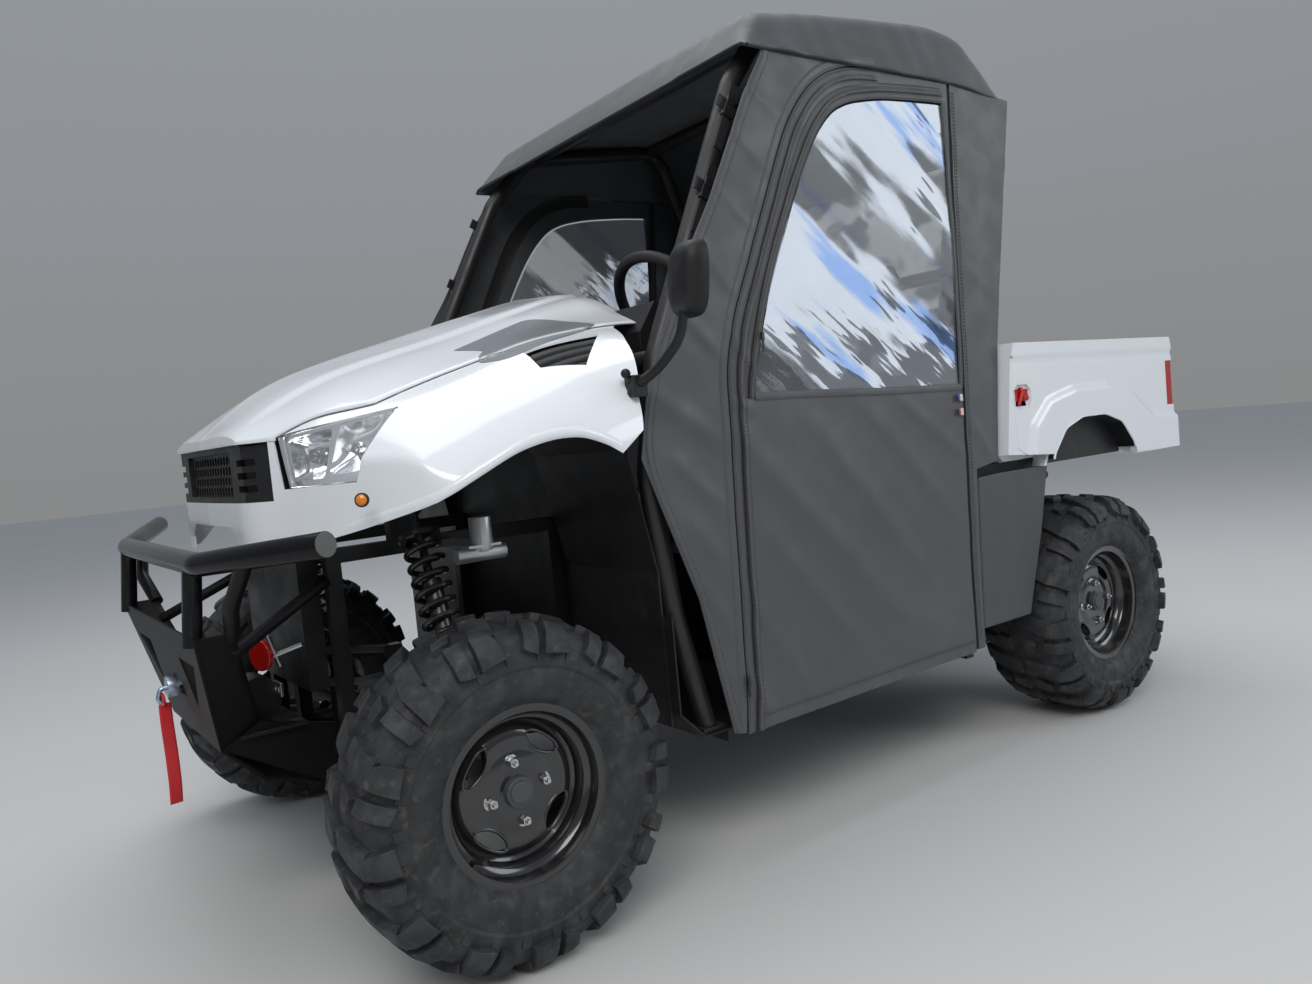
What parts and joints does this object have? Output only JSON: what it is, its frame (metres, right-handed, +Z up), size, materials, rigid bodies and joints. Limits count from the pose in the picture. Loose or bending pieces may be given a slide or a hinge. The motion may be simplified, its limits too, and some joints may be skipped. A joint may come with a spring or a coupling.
{
  "type": "side by side utility vehicle",
  "caption": "Utility vehicle with side by side seats, white nose, soft cab with zip doors and roof canopy, black tube bumper with winch, and a tipping cargo bed",
  "frame": {"origin": "on the ground under the middle of the overall length, on the plane of symmetry", "axes": "+X forward, +Y to the vehicle's left, +Z up"},
  "size_m": [2.8695, 1.768, 1.944],
  "materials": {
    "tyre_rubber": "moulded dark grey rubber",
    "rim_black": "gloss black paint",
    "frame_black": "satin black powder coat",
    "cast_grey": "dark cast grey",
    "shaft_steel": "dull bare steel",
    "shock_black": "semi-gloss black",
    "cage_black": "satin black powder coat",
    "bumper_black": "gloss black powder coat",
    "winch_black": "satin black",
    "hook_steel": "grey zinc",
    "radiator_black": "black painted",
    "brake_aluminium": "cast, bare",
    "muffler_steel": "dull",
    "white_plastic": "gloss white",
    "lamp_clear": "clear lens",
    "tail_red": "red lens",
    "latch_red": "red",
    "black_plastic": "grained black",
    "dark_grey_plastic": "dark grey",
    "grip_black": "soft black",
    "seat_vinyl": "black vinyl",
    "cab_vinyl": "charcoal coated fabric",
    "clear_vinyl": "clear flexible window"
  },
  "bodies": {
    "chassis": {"brake_cylinder": "brake_aluminium", "bumper": "bumper_black", "cab_floor": "black_plastic", "dash": "black_plastic", "drive_shafts": "shaft_steel", "engine": "cast_grey", "fascia": "white_plastic", "fender_left": "white_plastic", "fender_right": "white_plastic", "fender_vents": "black_plastic", "frame": "frame_black", "front_arms": "frame_black", "gearboxes": "cast_grey", "grille": "black_plastic", "headlamps": "lamp_clear", "hitch": "frame_black", "hood": "white_plastic", "mirrors": "black_plastic", "muffler": "muffler_steel", "quarter_panels": "dark_grey_plastic", "radiator": "radiator_black", "rear_arms": "frame_black", "rear_carriers": "cast_grey", "rear_panel": "cab_vinyl", "rear_window": "clear_vinyl", "roll_cage": "cage_black", "roof_canopy": "cab_vinyl", "seat_base": "black_plastic", "seat_left": "seat_vinyl", "seat_right": "seat_vinyl", "shocks": "shock_black", "side_panels": "cab_vinyl", "skid_plate": "frame_black", "springs": "shock_black", "steering_column": "frame_black", "steering_rack": "frame_black", "wheel_liners": "black_plastic", "winch": "winch_black", "winch_hook": "hook_steel"},
    "knuckle_left": {"knuckle_left": "cast_grey"},
    "knuckle_right": {"knuckle_right": "cast_grey"},
    "steering_wheel": {"steering_wheel": "grip_black"},
    "tie_rods": {"tie_rods": "frame_black"},
    "wheel_front_left": {"tyre_front_left": "tyre_rubber", "rim_front_left": "rim_black"},
    "wheel_front_right": {"tyre_front_right": "tyre_rubber", "rim_front_right": "rim_black"},
    "wheel_rear_left": {"tyre_rear_left": "tyre_rubber", "rim_rear_left": "rim_black"},
    "wheel_rear_right": {"tyre_rear_right": "tyre_rubber", "rim_rear_right": "rim_black"},
    "cargo_bed": {"cargo_bed": "white_plastic", "tail_lamps": "tail_red", "bed_latches": "latch_red"},
    "tailgate": {"tailgate": "white_plastic"},
    "door_left": {"door_left": "cab_vinyl", "window_left": "clear_vinyl"},
    "door_right": {"door_right": "cab_vinyl", "window_right": "clear_vinyl"}
  },
  "joints": [
    {"name": "steer_left", "type": "hinge", "parent": "chassis", "child": "knuckle_left", "pos_m": [0.975, 0.54, 0.3175], "axis": [0, 0, 1], "range_deg": [-28, 28]},
    {"name": "steer_right", "type": "hinge", "parent": "chassis", "child": "knuckle_right", "pos_m": [0.975, -0.54, 0.3175], "axis": [0, 0, 1], "range_deg": [-28, 28]},
    {"name": "steering_wheel_turn", "type": "hinge", "parent": "chassis", "child": "steering_wheel", "pos_m": [0.255, 0.33, 1.215], "axis": [-0.8192, 0, 0.5736], "range_deg": [-253, 253]},
    {"name": "tie_rod_slide", "type": "slide", "parent": "chassis", "child": "tie_rods", "axis": [0, 1, 0], "range_m": [-0.0441, 0.0441]},
    {"name": "wheel_front_left_spin", "type": "hinge", "parent": "knuckle_left", "child": "wheel_front_left", "pos_m": [0.975, 0.633, 0.3175], "axis": [0, 1, 0], "continuous": true},
    {"name": "wheel_front_right_spin", "type": "hinge", "parent": "knuckle_right", "child": "wheel_front_right", "pos_m": [0.975, -0.633, 0.3175], "axis": [0, 1, 0], "continuous": true},
    {"name": "wheel_rear_left_spin", "type": "hinge", "parent": "chassis", "child": "wheel_rear_left", "pos_m": [-0.95, 0.614, 0.3175], "axis": [0, 1, 0], "continuous": true},
    {"name": "wheel_rear_right_spin", "type": "hinge", "parent": "chassis", "child": "wheel_rear_right", "pos_m": [-0.95, -0.614, 0.3175], "axis": [0, 1, 0], "continuous": true},
    {"name": "bed_tip", "type": "hinge", "parent": "chassis", "child": "cargo_bed", "pos_m": [-1.33, 0, 0.66], "axis": [0, -1, 0], "range_deg": [0, 40]},
    {"name": "tailgate_drop", "type": "hinge", "parent": "cargo_bed", "child": "tailgate", "pos_m": [-1.421, 0, 0.797], "axis": [0, -1, 0], "range_deg": [0, 90]},
    {"name": "door_left_swing", "type": "hinge", "parent": "chassis", "child": "door_left", "pos_m": [-0.3531, 0.69421, 0.31435], "axis": [-0.076, -0.0322, 0.9966], "range_deg": [0, 95]},
    {"name": "door_right_swing", "type": "hinge", "parent": "chassis", "child": "door_right", "pos_m": [-0.3531, -0.69421, 0.31435], "axis": [0.076, -0.0322, -0.9966], "range_deg": [0, 95]}
  ],
  "couplings": [
    {"joint": "steer_right", "follows": "steer_left", "ratio": 1},
    {"joint": "steering_wheel_turn", "follows": "steer_left", "ratio": 9},
    {"joint": "tie_rod_slide", "follows": "steer_left", "m_per_rad": -0.09}
  ]
}
